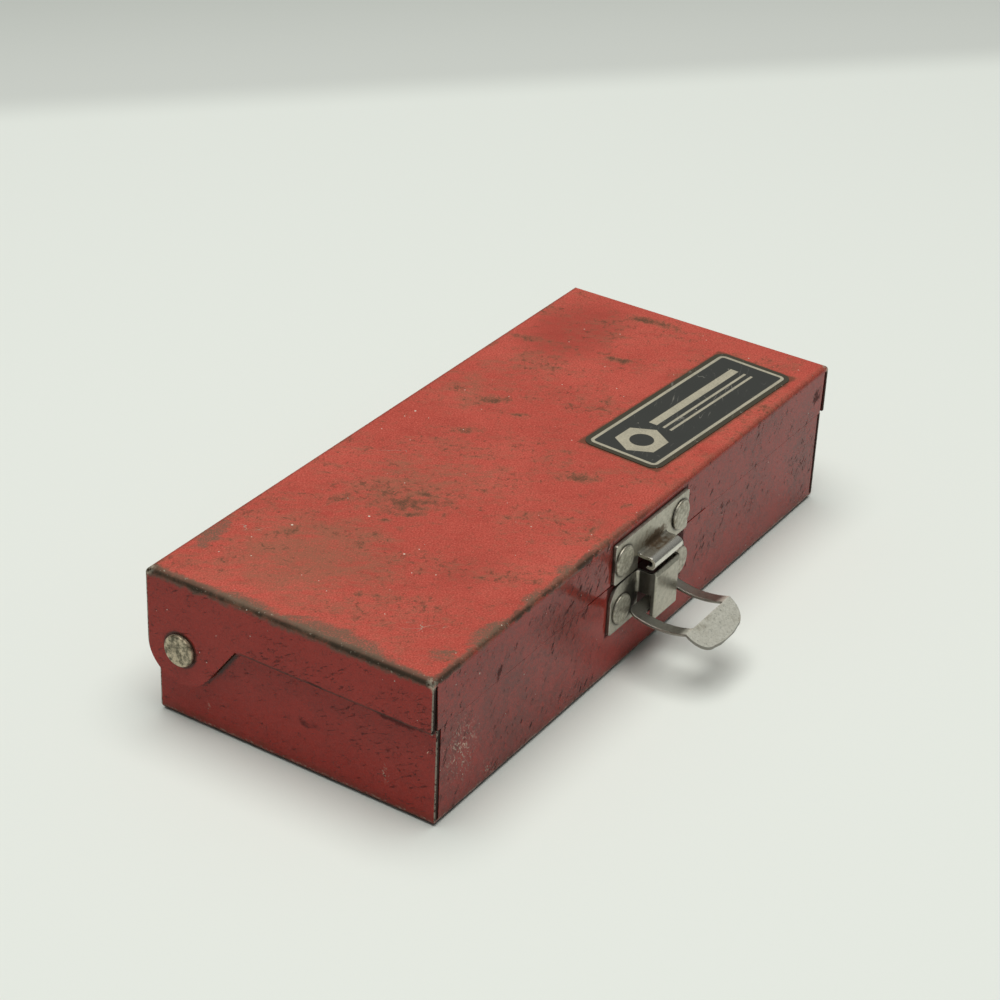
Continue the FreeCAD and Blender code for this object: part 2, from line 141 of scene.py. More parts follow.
class Graph:
    """A material's nodes, with short calls for what the finishes share."""

    def __init__(self, name):
        self.material = bpy.data.materials.new(name)
        self.material.use_nodes = True
        self.tree = self.material.node_tree
        self.tree.nodes.clear()
        metres = Value(self, self.node("ShaderNodeTexCoord").outputs["Object"])
        scaled = self.node("ShaderNodeVectorMath", {0: metres, "Scale": MM}, operation="SCALE")
        self.point = Value(self, scaled.outputs[0])
        self.x, self.y, self.z = self.split(self.point)

    def node(self, kind, inputs=(), **settings):
        """A new node, with its settings made and its inputs fed."""
        made = self.tree.nodes.new(kind)
        for name, value in settings.items():
            setattr(made, name, value)
        for key, value in dict(inputs).items():
            self.feed(made.inputs[key], value)
        return made

    def feed(self, socket, value):
        """Links a value to a socket, or sets a constant on it."""
        if isinstance(value, Value):
            self.tree.links.new(value.socket, socket)
        elif socket.type == "RGBA":
            socket.default_value = (*value, 1.0)
        else:
            socket.default_value = value

    def split(self, vector):
        """The three parts of a vector."""
        return [Value(self, out) for out in self.node("ShaderNodeSeparateXYZ", {0: vector}).outputs]

    def math(self, operation, a, b=0.0):
        made = self.node("ShaderNodeMath", {0: a, 1: b}, operation=operation)
        return Value(self, made.outputs[0])

    def length(self, a, b):
        return self.math("SQRT", a * a + b * b)

    def step(self, value, low, high, bottom=0.0, top=1.0):
        """Smooth rise from bottom, where the value is low, to top, where it is high."""
        inputs = {"Value": value, "From Min": low, "From Max": high, "To Min": bottom, "To Max": top}
        made = self.node("ShaderNodeMapRange", inputs, interpolation_type="SMOOTHSTEP")
        return Value(self, made.outputs["Result"])

    def mix(self, mask, under, over):
        """The colour under, with the colour over on it where the mask is 1."""
        made = self.node("ShaderNodeMix", {0: mask, 6: under, 7: over}, data_type="RGBA")
        return Value(self, made.outputs[2])

    def placed(self, middle=(0, 0, 0), size=(1, 1, 1), turn=(0, 0, 0), point=None):
        """The point as seen from a middle, in turned axes, in units of size."""
        turn = [math.radians(angle) for angle in turn]
        inputs = {"Vector": point or self.point, "Location": middle, "Rotation": turn, "Scale": size}
        made = self.node("ShaderNodeMapping", inputs, vector_type="TEXTURE")
        return Value(self, made.outputs[0])

    def grain_place(self, size, stretch, turn, seed, warp=0.0):
        """The point in a grain of that size, stretched and turned, and bent about by warp."""
        shift = (seed * 37.3, seed * 51.7, seed * 23.9)
        return self.placed(shift, [size * share for share in stretch], turn, self.bent(warp))

    def bent(self, warp):
        """The point, moved about by a noise of that size and strength."""
        if not warp:
            return self.point
        inputs = {"Vector": self.placed(size=(warp, warp, warp)), "Scale": 1.0, "Detail": 1.0}
        wander = Value(self, self.node("ShaderNodeTexNoise", inputs).outputs[1])
        scaled = self.node("ShaderNodeVectorMath", {0: wander, "Scale": warp}, operation="SCALE")
        moved = self.node("ShaderNodeVectorMath", {0: self.point, 1: Value(self, scaled.outputs[0])})
        return Value(self, moved.outputs[0])

    def noise(self, size, detail=3.0, rough=0.55, stretch=(1, 1, 1), turn=(0, 0, 0), seed=0.0):
        """Fractal noise around 0.5, of that size and number of finer layers."""
        place = self.grain_place(size, stretch, turn, seed)
        inputs = {"Vector": place, "Scale": 1.0, "Detail": detail, "Roughness": rough}
        return Value(self, self.node("ShaderNodeTexNoise", inputs).outputs[0])

    def flecks(self, size, reach, share, seed, warp=0.0):
        """Scattered flecks: one in a cell of that size, in a share of the cells."""
        place = self.grain_place(size, (1, 1, 1), (0, 0, 0), seed, warp)
        made = self.node("ShaderNodeTexVoronoi", {"Vector": place, "Scale": 1.0})
        distance = Value(self, made.outputs["Distance"])
        cell = self.node("ShaderNodeSeparateColor", {0: Value(self, made.outputs["Color"])})
        pick = Value(self, cell.outputs[0])
        return self.step(distance, reach, reach * 0.55) * self.step(pick, share, share * 0.98)

    def lines(self, size, width, stretch, turn, seed):
        """Fine wandering lines along the stretched direction."""
        wander = self.noise(size, 2.0, 0.5, stretch, turn, seed)
        return self.step(abs(wander - 0.5), width, width * 0.3)

    def marks(self, axis, places):
        """Soft oval marks on the faces square to an axis: (u, v, half u, half v, turn, depth) each."""
        total = None
        for u, v, half_u, half_v, turn, depth in places:
            middle, size, turns = [u, v], [half_u * MARK_REACH, half_v * MARK_REACH], [0, 0, 0]
            middle.insert(axis, 0.0)
            size.insert(axis, ENDLESS)
            turns[axis] = turn
            place = self.placed(middle, size, turns)
            made = self.node("ShaderNodeTexGradient", {0: place}, gradient_type="SPHERICAL")
            inward = Value(self, made.outputs[1])
            mark = self.step(inward, 0.0, 1.0 - MARK_CORE / MARK_REACH, 0.0, depth)
            total = mark if total is None else total | mark
        return total

    def rounded(self, radius):
        """The surface's normal with its sharp edges rounded over."""
        made = self.node("ShaderNodeBevel", {"Radius": radius / MM}, samples=EDGE_SAMPLES)
        return Value(self, made.outputs[0])

    def sharp_edges(self, rounded):
        """1 along sharp edges, 0 on the faces."""
        flat = Value(self, self.node("ShaderNodeNewGeometry").outputs["Normal"])
        made = self.node("ShaderNodeVectorMath", {0: rounded, 1: flat}, operation="DOT_PRODUCT")
        return self.step(Value(self, made.outputs["Value"]), 0.995, 0.70)

    def open_sky(self, reach):
        """How free the surface is of anything within reach: low in corners and gaps."""
        inputs = {"Distance": reach / MM}
        made = self.node("ShaderNodeAmbientOcclusion", inputs, samples=EDGE_SAMPLES)
        return Value(self, made.outputs["AO"])

    def finish(self, colour, roughness, metallic, height, specular=0.5, normal=None):
        """Ends the material. The height is in millimetres."""
        bump = {"Height": height, "Distance": 1.0 / MM, "Strength": 1.0}
        if normal is not None:
            bump["Normal"] = normal
        relief = Value(self, self.node("ShaderNodeBump", bump).outputs[0])
        inputs = {"Base Color": colour, "Roughness": roughness, "Metallic": metallic,
                  "Normal": relief, "Specular IOR Level": specular}
        shader = self.node("ShaderNodeBsdfPrincipled", inputs)
        output = self.node("ShaderNodeOutputMaterial")
        self.tree.links.new(shader.outputs[0], output.inputs[0])
        return self.material


def corners(node):
    """A node's lowest and highest corners in millimetres."""
    return [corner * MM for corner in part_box(node)]


# ---- paint ----

# Rubbed and grimy places on the top: middle x and y, half sizes, turn, depth
TOP_SMUDGES = (
    (-33.0, 8.0, 13.0, 7.0, -60, 0.70), (-27.0, 6.5, 7.0, 1.3, -75, 1.0),
    (-36.0, 4.0, 6.0, 1.6, -50, 0.9), (21.3, 19.8, 5.5, 2.6, -58, 1.0),
    (4.5, 16.2, 5.0, 2.3, -58, 0.75), (18.3, 10.6, 3.2, 1.2, -58, 0.9),
    (1.3, -17.9, 8.0, 3.6, -58, 0.75), (58.2, 6.3, 5.0, 1.9, -75, 1.0),
    (82.3, 9.5, 10.0, 2.6, -85, 0.95), (55.4, 28.9, 13.0, 2.3, -80, 0.7),
    (46.2, 36.6, 4.0, 1.5, 0, 0.7), (9.0, -7.6, 4.0, 2.0, -58, 0.5),
    (-39.2, 21.3, 5.0, 2.6, -20, 0.65), (-41.7, 7.5, 2.2, 1.1, -58, 0.95),
    (-53.1, 5.0, 4.0, 2.0, -58, 0.55), (-57.9, 22.3, 4.5, 2.4, -30, 0.65),
    (-69.3, -8.0, 6.0, 2.0, -60, 0.6), (-65.6, -15.1, 5.0, 1.6, -60, 0.55),
    (-16.6, -32.5, 8.0, 1.4, 10, 0.55), (-3.1, -33.2, 2.5, 1.2, -30, 0.75),
)
# Wide places on the top that are browner, and wide places that are deeper red
TOP_DUSTY = (
    (-66.0, 12.0, 24.0, 22.0, 0, 1.0), (-20.0, 12.0, 22.0, 12.0, -40, 0.5),
    (30.0, 26.0, 25.0, 8.0, 0, 0.5),
)
TOP_DEEP = ((66.0, 24.0, 26.0, 16.0, 0, 1.0), (-50.0, -20.0, 16.0, 10.0, -30, 0.5))
# Places on the top with fine pale scratches
TOP_SCRATCHES = (
    (-73.0, -24.0, 6.0, 2.2, -58, 1.0), (-62.0, 30.0, 5.0, 2.0, -58, 1.0),
    (-14.0, 24.0, 5.0, 2.0, -40, 1.0),
)
# Places along the top's edges that are worn down to an olive stain
TOP_WORN = (
    (-70.0, 34.8, 11.0, 3.6, 10, 1.2), (-80.0, -33.0, 6.0, 4.0, -30, 0.9),
    (-67.0, -36.4, 10.0, 3.2, 0, 1.3), (-50.0, -36.6, 7.0, 2.4, 0, 1.1),
    (-35.0, -36.0, 6.0, 2.6, 0, 1.0), (-87.0, -12.0, 5.0, 18.0, 0, 1.7),
    (-87.5, 12.0, 3.6, 12.0, 0, 1.3), (-24.0, -37.0, 4.0, 1.6, 0, 0.8),
)
# Scuffs and nicked places on the front and the back: middle x and z, half sizes, turn, depth
FACE_SCUFFS = (
    (-63.4, 27.2, 5.5, 1.6, -65, 1.0), (-57.3, 30.1, 2.6, 1.0, -60, 0.9),
    (73.9, 15.9, 10.0, 8.0, -40, 0.55), (-40.0, 33.0, 5.0, 1.2, -50, 0.6),
    (60.0, 31.0, 6.0, 1.5, -30, 0.6), (-80.0, 31.0, 5.0, 4.0, -40, 0.5),
    (84.0, 31.0, 5.0, 3.5, -40, 0.9), (70.0, 27.0, 5.0, 1.6, -50, 0.8),
    (30.0, 29.0, 4.0, 1.2, -50, 0.8), (-66.0, 12.0, 7.0, 5.0, -50, 0.5),
    (48.0, 20.0, 6.0, 2.0, -45, 0.6), (-30.0, 14.0, 4.0, 1.2, -50, 0.6),
    (-76.0, 20.0, 8.0, 7.0, -50, 0.65), (-50.0, 9.0, 8.0, 4.0, -50, 0.5),
    (-48.0, 22.0, 6.0, 3.0, -50, 0.45),
)
# Wide place on the front and the back that is duller
FACE_DULL = ((-62.0, 20.0, 36.0, 24.0, 0, 1.0),)
# Pale scraped places on the front
FRONT_SCRAPES = ((-78.0, 15.0, 8.0, 10.0, 0, 1.0), (-66.1, 3.2, 2.6, 4.5, -50, 1.0))
# Smears on the ends, and pale scraped places on the left end: middle y and z, half sizes, turn, depth
END_SMEARS = (
    (-28.5, 24.0, 10.0, 2.2, 0, 1.5), (-7.5, 25.2, 4.0, 0.9, 8, 1.3),
    (-4.5, 12.6, 7.0, 1.5, -6, 0.85), (-25.4, 15.1, 1.4, 1.4, 0, 0.9),
    (12.0, 33.0, 6.0, 2.0, -20, 0.5), (8.0, 30.0, 5.0, 1.0, 30, 0.5),
)
LEFT_SCRAPES = (
    (-25.1, 8.7, 1.6, 2.8, 0, 1.0), (-35.7, 19.2, 1.0, 1.8, 0, 1.0),
    (23.1, 5.8, 1.2, 1.4, 0, 1.0),
)
# Turns of the grain: across the top as the photograph sees it, slanting on the front and the back, and
# slanting on the ends
ACROSS = (0, 0, -58)
STEEP = (0, -58, 0)
LEANING = (62, 0, 0)
# Stretch of the nicks on the front and the back, and on the ends
FACE_NICKS = (2.4, 2.4, 0.6)
END_NICKS = (1, 0.6, 2.4)
# Dust on the lid and the base: size of its cells, reach of a fleck, share of the cells, seed
DUST_FLECKS = (2.9, 0.065, 0.45, 13)
# The paint's gloss, its roughness on the upright faces and on the lid's top, and what it has more inside
PAINT_GLOSS = 0.22
PAINT_ROUGHNESS = 0.09
TOP_ROUGHNESS = 0.5
INSIDE_ROUGHER = 0.3


class Skin:
    """How far a point of a folded shell is from each of its outer faces."""

    def __init__(self, graph, node):
        low, high = corners(node)
        self.left, self.right = graph.x - low.x, high.x - graph.x
        self.front, self.back = graph.y - low.y, high.y - graph.y
        self.bottom, self.top = graph.z - low.z, high.z - graph.z
        self.ends = self.left & self.right
        self.faces = self.front & self.back
        self.sides = self.ends & self.faces
        self.upright = self.ends + self.faces


class Wear:
    """The noises that wear and dirt are cut from, the same on the lid and on the base."""

    def __init__(self, graph):
        self.rub = graph.noise(2.3, 6.0, 0.72, (2.1, 0.9, 1), ACROSS, 4)
        self.broad = graph.noise(16.0, 5.0, 0.62, (1.7, 1, 1), ACROSS, 5)
        self.chew = graph.noise(2.0, 5.0, 0.70, seed=6)
        self.fine = graph.noise(0.7, 3.0, 0.6, seed=7)
        self.grit = graph.noise(0.38, 2.0, 0.75, seed=8)
        self.feather = graph.noise(3.2, 7.0, 0.74, (0.9, 1.2, 1), ACROSS, 36)
        self.swell = graph.noise(14.0, 2.0, seed=16)


def on_face(g, distance):
    """1 on the outer face that the distance is measured from, 0 from half a millimetre inside it."""
    return g.step(distance, 0.5, 0.1)


def before_ear(g):
    """1 along the ends up to where the lid's ears start."""
    return g.step(g.y, EAR_START, EAR_START - 2)


def enamel(g, wear):
    """Red paint, faded in clouds, with a fine grain."""
    clouds = g.noise(30.0, 4.0, 0.6, seed=1)
    patches = g.noise(6.0, 5.0, 0.66, (1.7, 1, 1), ACROSS, 2)
    colour = g.mix(g.step(clouds, 0.38, 0.66), RED, RED_FADED)
    colour = g.mix(g.step(patches, 0.48, 0.74, 0.0, 0.4), colour, RED_DEEP)
    colour = g.mix(g.step(wear.grit, 0.48, 0.68, 0.0, 0.9), colour, RED_DEEP)
    return g.mix(g.step(wear.grit, 0.47, 0.30, 0.0, 0.8), colour, RED_PALE)


def ragged(g, edge, width, rag, noise):
    """Wear along an edge, to about that width, with a ragged rim."""
    return g.step(edge + (noise - 0.5) * rag, width, width * 0.5)


def dashes(g, wear, stretch, turn, seed):
    """Short dark nicks along one slanting direction, closer together in some places."""
    grain = g.noise(1.15, 4.0, 0.66, stretch, turn, seed)
    fewer = g.step(g.x, 15.0, 60.0, 0.0, 0.035)
    return g.step(grain + (wear.broad - 0.5) * 0.35 - fewer, 0.612, 0.638)


def plate_rim_shade_and_dirt(g, plate):
    """Painted shade, with some dirt, on the paint behind a plate of the latch and along its rim."""
    low, high = corners(plate)
    middle, half = (low + high) / 2, (high - low) / 2
    past = (abs(g.x - middle.x) - half.x) | (abs(g.z - middle.z) - half.z)
    return g.step(past, 1.0, 0.2, 0.0, 0.95)


def upright_wear(g, skin, wear, colour, outer):
    """Dirt, scuffs, smears and nicks that run across the upright faces of the lid and the base alike,
    and painted shade round the latch plates.
    """
    on_faces = on_face(g, skin.faces) * outer
    on_ends = on_face(g, skin.ends) * outer
    upright = on_faces | on_ends
    colour = g.mix(upright * 0.7, colour, RED_SIDE)
    mottle = g.noise(1.2, 5.0, 0.75, seed=27)
    dulled = g.marks(1, FACE_DULL) * on_faces * 0.10
    grainy = mottle * 0.35 + (wear.grit - 0.5) * 0.3
    film = g.step(wear.broad * 0.45 + wear.rub * 0.5 + grainy + dulled, 0.54, 0.84, 0.0, 0.8)
    colour = g.mix(film * (on_faces | on_ends * 0.4), colour, SIDE_FILM)

    cracks = g.lines(3.2, 0.012, (1, 1, 1), (20, 0, 0), 14) * g.step(wear.rub, 0.48, 0.58) * on_ends
    scuffs = g.step(g.marks(1, FACE_SCUFFS) + (wear.rub - 0.5) * 2.6, 0.5, 1.1, 0.0, 0.85)
    # Painted shade, with some dirt, along the rims of the latch plates
    behind = plate_rim_shade_and_dirt(g, "strike_plate") | plate_rim_shade_and_dirt(g, "keeper_plate")
    shade_round_plates = behind * on_face(g, skin.front)
    smears = g.step(g.marks(0, END_SMEARS) + (wear.rub - 0.5) * 2.4, 0.4, 1.1, 0.0, 0.8) * on_ends
    face_nicks = dashes(g, wear, FACE_NICKS, STEEP, 9) * on_faces
    dents = face_nicks | dashes(g, wear, END_NICKS, LEANING, 10) * on_ends * 0.7
    dots = g.flecks(1.9, 0.14, 0.4, seed=11, warp=1.0) * (on_faces | on_ends * 0.5)
    dark = (scuffs | shade_round_plates) * on_faces | smears | dents * 0.95 | dots * 0.8 | cracks * 0.8
    return g.mix(dark, colour, NICK_AND_SHADE), dark, dents, film


def corner_seam(g, skin, wear, colour, outer):
    """Open corner seams: painted shade in the hollow of the slit, dark cut edges, pale worn lines beside
    them.
    """
    clear = g.step(skin.top & skin.bottom, BEND - 0.2, BEND + 0.2)
    # Painted shade: the faces inside the seam's slit made near black
    hollow = g.step(skin.ends & skin.faces, 0.08, 0.22) * g.step(skin.upright, 4.5, 3.5)
    cut = g.step(skin.faces, 0.3, 0.1) * g.step(skin.ends, SHEET + 0.1, SHEET - 0.05)
    seam = (hollow | cut * outer) * clear
    colour = g.mix(seam * 0.95, colour, CORNER_SHADE_AND_GRIME)
    line = g.step(skin.upright, 0.36, 0.16) * outer * g.step(wear.fine, 0.36, 0.52)
    return g.mix(line * 0.7, colour, BARE_STEEL), seam


def from_hinge(g):
    """How far a point is from the hinge's axis, the radius of the rivets' heads, and the axis."""
    low, high = corners("hinge_rivet_left")
    middle, radius = (low + high) / 2, (high.y - low.y) / 2
    return g.length(g.y - middle.y, g.z - middle.z), radius, middle


def hinge_ring_shade_and_grime(g):
    """Dark ring round a hinge rivet's head: painted shade where the head meets the lid, with some grime.
    """
    distance, radius, _ = from_hinge(g)
    return g.step(distance, radius + 1.0, radius + 0.35)


def lid_shadow(g, skin, wear):
    """Painted shadow, with some grime, on the base's end walls under the edge of the lid and of its
    ears.
    """
    distance, _, middle = from_hinge(g)
    rag = (wear.chew - 0.5) * 1.6
    below = g.step(PARTING - g.z + rag, 1.8, 0.2) * g.step(g.z, PARTING + 0.5, PARTING)
    straight = below * before_ear(g)
    round_ear = abs(distance + rag * 0.3 - EAR_RADIUS - 0.2)
    curved = g.step(round_ear, 0.8, 0.15) * g.step(g.z, middle.z, middle.z - 2)

    past, under = g.y - EAR_START, PARTING - g.z
    out = past * EAR_SLOPE[1] - under * EAR_SLOPE[0]
    down = past * EAR_SLOPE[0] + under * EAR_SLOPE[1]
    slanted = g.step(out + rag * 0.4, -1.5, -0.5) * g.step(down, 0.5, 3.0) * g.step(down, 13.5, 10.0)
    below_lid = g.step(g.z, PARTING + 0.5, PARTING) * g.step(distance, EAR_RADIUS - 0.8, EAR_RADIUS)
    slanted = slanted * g.step(out, 0.8, 0.3) * below_lid
    return (straight * 0.75 | curved * 0.6 | slanted * 0.9) * on_face(g, skin.ends)


def label_rim_darkening(g, wear):
    """Darkening on the paint along the label's rim."""
    low, high = corners("label_plate")
    u, v, _ = g.split(g.placed((low + high) / 2, turn=(0, 0, LABEL_TURN)))
    past_u, past_v = (abs(u) - LABEL_SIZE[0] / 2) | 0.0, (abs(v) - LABEL_SIZE[1] / 2) | 0.0
    away = g.length(past_u, past_v)
    return g.step(away + (wear.chew - 0.5) * 1.6, 1.1, 0.0) * 0.75


def top_dirt(g, wear, colour, on_top, gritty):
    """Deeper and browner places, smudges, strokes and specks on the lid's top."""
    deep = g.step(g.marks(2, TOP_DEEP) + (wear.rub - 0.5) * 0.8, 0.1, 0.9, 0.0, 0.6) * on_top
    colour = g.mix(deep, colour, RED_DEEP)
    dusty = g.marks(2, TOP_DUSTY) * 0.22
    dirt = g.step(wear.broad * 0.65 + wear.rub * 0.85 + dusty, 0.70, 1.02, 0.05, 0.85) * on_top
    colour = g.mix(dirt * gritty, colour, FILM)

    smudged = g.marks(2, TOP_SMUDGES)
    halo = g.step(smudged + (wear.feather - 0.5) * 2.4, 0.0, 0.9, 0.0, 0.7) * on_top
    colour = g.mix(halo * gritty, colour, FILM)
    smudge = g.step(smudged + (wear.feather - 0.5) * 4.2, 0.3, 1.2, 0.0, 0.9) * on_top
    colour = g.mix(smudge * gritty, colour, GRIME)

    strokes = g.lines(8.0, 0.009, (2.2, 1, 1), ACROSS, 15) * g.step(wear.rub, 0.52, 0.66)
    peppered = g.noise(1.3, 6.0, 0.75, (1, 1.2, 1), ACROSS, 18) + (wear.broad - 0.5) * 0.5
    pepper = g.step(peppered, 0.56, 0.70)
    specked = (strokes * 0.75 | pepper * 0.65 | label_rim_darkening(g, wear)) * on_top
    return g.mix(specked, colour, GRIME), smudge | dirt


def lid_edges(g, skin, wear, colour, outer, on_top, gritty):
    """Wear along the lid's top edges: an olive stain, dark oxide below it, flakes of bare steel. The
    oxide is weaker on the upper half of each bend than on its lower half: painted shade.
    """
    left_edge, front_edge = skin.left + skin.top, skin.front + skin.top
    right_edge, back_edge = skin.right + skin.top, skin.back + skin.top
    handled = g.step(g.x, 15.0, -30.0, 0.3, 1.0)
    worn = g.marks(2, TOP_WORN) + (wear.rub - 0.5) * 2.2 + (wear.chew - 0.5) * 1.2
    worn = g.step(worn, 0.35, 1.2, 0.0, 0.85)
    colour = g.mix(worn * on_top * gritty, colour, OLIVE)
    left_core = ragged(g, left_edge, 2.4, 4.5, wear.feather) * 0.8
    core = left_core | ragged(g, front_edge, 1.7, 4.0, wear.feather) * 0.7 * handled
    colour = g.mix(core * outer, colour, OLIVE)

    dark_left = ragged(g, left_edge + (0.5 - wear.swell) * 1.6, 1.6, 2.0, wear.feather)
    line = ragged(g, front_edge, 1.05, 0.8, wear.fine) * g.step(wear.chew, 0.36, 0.48, 0.5, 1.0)
    chips = ragged(g, front_edge + (0.5 - wear.swell) * 4.0, 1.1, 3.6, wear.feather)
    dark_front = (line | chips * 0.9) * handled
    dark_right = ragged(g, right_edge, 1.0, 1.2, wear.chew)
    thin = dark_right | ragged(g, back_edge, 1.7, 2.0, wear.feather) * 0.8
    # Painted shade: the oxide at full strength on the lower half of each bend, weaker on its upper half,
    # which catches the light
    under = g.step(skin.top - skin.sides, -0.6, 0.3, 0.4, 1.0)
    oxide = (dark_left | dark_front | thin) * under * outer
    colour = g.mix(oxide * 0.92, colour, OXIDE_AND_SHADE)

    tips = g.step(skin.upright + skin.top, 3.4, 1.8) * g.step(wear.fine, 0.38, 0.55)
    flakes = g.step(wear.fine, 0.64, 0.72)
    worn_line = g.step(left_edge, 2.4, 1.2) * 0.7 | g.step(front_edge, 1.4, 0.8)
    scratched = g.lines(5.0, 0.009, (1.6, 0.7, 1), (0, 0, -35), 19)
    scratches = scratched * g.marks(2, TOP_SCRATCHES) * on_top
    bare = (worn_line * flakes * 0.75 | tips * 0.6 | scratches * 0.8) * outer
    return g.mix(bare, colour, BARE_STEEL), oxide, bare


def lid_paint():
    """Worn red paint of the lid: dull and dirty on the top, glossy on the upright faces."""
    g = Graph("lid_paint")
    skin = Skin(g, "lid_shell")
    wear = Wear(g)
    outer = g.step(skin.sides & skin.top, 0.8, 0.5)
    on_top = g.step(skin.top, 1.1, 0.3) * outer
    on_side = 1.0 - on_top
    gritty = g.step(wear.grit, 0.28, 0.6, 0.4, 1.0)

    colour, dark, dents, film = upright_wear(g, skin, wear, enamel(g, wear), outer * on_side)
    colour, soiled = top_dirt(g, wear, colour, on_top, gritty)
    # Painted shade, with some grime, round the hinge rivet's head
    ring = hinge_ring_shade_and_grime(g) * on_side
    colour = g.mix(ring * 0.85, colour, OXIDE_AND_SHADE)
    low_edge = g.step(abs(g.z - PARTING), 0.7, 0.15) * on_face(g, skin.ends) * before_ear(g)
    colour = g.mix(low_edge * 0.7, colour, OXIDE_AND_SHADE)
    colour, seam = corner_seam(g, skin, wear, colour, outer)
    colour, oxide, bare = lid_edges(g, skin, wear, colour, outer, on_top, gritty)
    specks = (g.flecks(*DUST_FLECKS) | g.flecks(7.0, 0.05, 0.5, seed=20)) * outer
    colour = g.mix(specks * 0.85, colour, DUST)

    dull = g.step(on_top, 0.0, 1.0, PAINT_ROUGHNESS, TOP_ROUGHNESS) + (1.0 - outer) * INSIDE_ROUGHER
    stained = soiled * 0.1 + (oxide | ring) * 0.3 + film * 0.06 + dark * 0.6
    roughness = dull + stained + seam * 0.7 + (wear.fine - 0.5) * 0.08
    grain = wear.fine * 0.002 + wear.grit * on_top * 0.006
    height = grain - oxide * 0.02 - dents * 0.008 + specks * 0.02
    return g.finish(colour, roughness, bare * 0.9 + oxide * 0.25, height, PAINT_GLOSS)


def base_paint():
    """Worn red paint of the base, with a dirty foot, a worn rim and scraped places."""
    g = Graph("base_paint")
    skin = Skin(g, "base_tray")
    wear = Wear(g)
    outer = g.step(skin.sides & skin.bottom, 0.8, 0.5)

    colour, dark, dents, film = upright_wear(g, skin, wear, enamel(g, wear), outer)
    foot_dirt = g.step(skin.bottom + (wear.rub - 0.5) * 9.0, 4.0, -0.5, 0.0, 0.6)
    colour = g.mix(foot_dirt, colour, GRIME)
    # Painted shadow of the lid's edge and ears on the base's end walls
    colour = g.mix(lid_shadow(g, skin, wear), colour, OXIDE_AND_SHADE)
    colour, seam = corner_seam(g, skin, wear, colour, outer)

    foot = skin.sides + skin.bottom
    rim = ragged(g, foot, 1.4, 0.9, wear.chew) * outer
    colour = g.mix(rim, colour, RIM)
    pale = g.step(abs(foot + (wear.chew - 0.5) * 0.8 - 1.4), 0.28, 0.1) * g.step(wear.fine, 0.5, 0.62)
    on_front, on_left = on_face(g, skin.front), on_face(g, skin.left)
    scraped = g.marks(1, FRONT_SCRAPES) * on_front | g.marks(0, LEFT_SCRAPES) * on_left
    scrapes = g.lines(2.2, 0.04, (0.5, 1, 1.4), (0, -25, 0), 17) * g.step(wear.fine, 0.46, 0.58)
    bare = (pale * 0.7 | scrapes * scraped) * outer
    colour = g.mix(bare * 0.65, colour, BARE_STEEL)
    specks = g.flecks(*DUST_FLECKS) * outer
    colour = g.mix(specks * 0.85, colour, DUST)

    dull = (1.0 - outer) * INSIDE_ROUGHER + PAINT_ROUGHNESS
    stained = dull + film * 0.06 + foot_dirt * 0.3 + (rim | dark) * 0.6
    roughness = stained + seam * 0.7 + (wear.fine - 0.5) * 0.08
    height = wear.fine * 0.002 - rim * 0.02 - dents * 0.008 + specks * 0.02
    return g.finish(colour, roughness, bare * 0.9, height, PAINT_GLOSS)


# ---- steel ----

EDGE_ROUNDING = 0.26
CORNER_REACH = 3.0
# Rust above the strike plate's bead, and shade beside the keeper's hat: as the marks on the paint
SHELF_RUST = ((0.4, 30.2, 8.0, 2.6, 0, 1.1),)
HAT_SHADE = (
    (HAT_SIDES[0] - 3.0, 18.5, 4.5, 8.0, 0, 1.3), (HAT_SIDES[1] + 2.6, 19.5, 3.6, 7.0, 0, 1.2),
)
LATCH_RIVETS = ("strike_rivet_left", "strike_rivet_right", "keeper_rivet_left", "keeper_rivet_right")


def aged_steel(name, light, dark, stain, mottle=1.6, blend=0.16, shine=0.8):
    """Old plated steel: mottled, pitted, with painted shade in its corners and a painted highlight,
    partly real wear, along its edges.
    """
    g = Graph(name)
    rounded = g.rounded(EDGE_ROUNDING)
    # Painted highlight, partly real wear, along the sharp edges
    edges = g.sharp_edges(rounded)
    # Painted shade in corners and gaps, where other surfaces are near
    corner = g.step(g.open_sky(CORNER_REACH), 0.72, 0.30)
    cloud = g.noise(mottle, 6.0, 0.68, seed=21)
    fine = g.noise(0.5, 4.0, 0.72, seed=22)
    pits = g.step(fine, 0.60, 0.74)
    blots = g.step(g.noise(1.4, 6.0, 0.75, seed=23), 0.58, 0.70)
    brushed = g.noise(0.3, 2.0, 0.6, (1, 1, 16), seed=24)
    colour = g.mix(g.step(cloud, 0.5 - blend, 0.5 + blend), dark, light)
    colour = g.mix(g.step(brushed, 0.5, 0.8, 0.0, 0.4), colour, dark)
    stains = g.step(g.noise(3.4, 5.0, 0.65, seed=25), 0.55, 0.72, 0.0, 0.65)
    colour = g.mix(stains, colour, stain)
    colour = g.mix(pits * 0.6 | blots * 0.5, colour, OXIDE_AND_SHADE)
    colour = g.mix(edges * shine, colour, POLISH_AND_HIGHLIGHT)
    colour = g.mix(corner * 0.9, colour, CORNER_SHADE_AND_GRIME)
    roughness = 0.24 + cloud * 0.14 + pits * 0.2 + stains * 0.12 - edges * 0.08 + corner * 0.4
    height = fine * 0.004 + cloud * 0.006 - blots * 0.006
    return g, colour, roughness, height, rounded


def rivet_rings(g, nodes):
    """Dark rings on the plates round the heads of their rivets: painted shade where the heads meet the
    plates, with some grime.
    """
    total = 0.0
    for node in nodes:
        low, high = corners(node)
        middle, radius = (low + high) / 2, (high.z - low.z) / 2
        distance = g.length(g.x - middle.x, g.z - middle.z)
        total = g.step(distance, radius + 0.75, radius + 0.1) | total
    return total


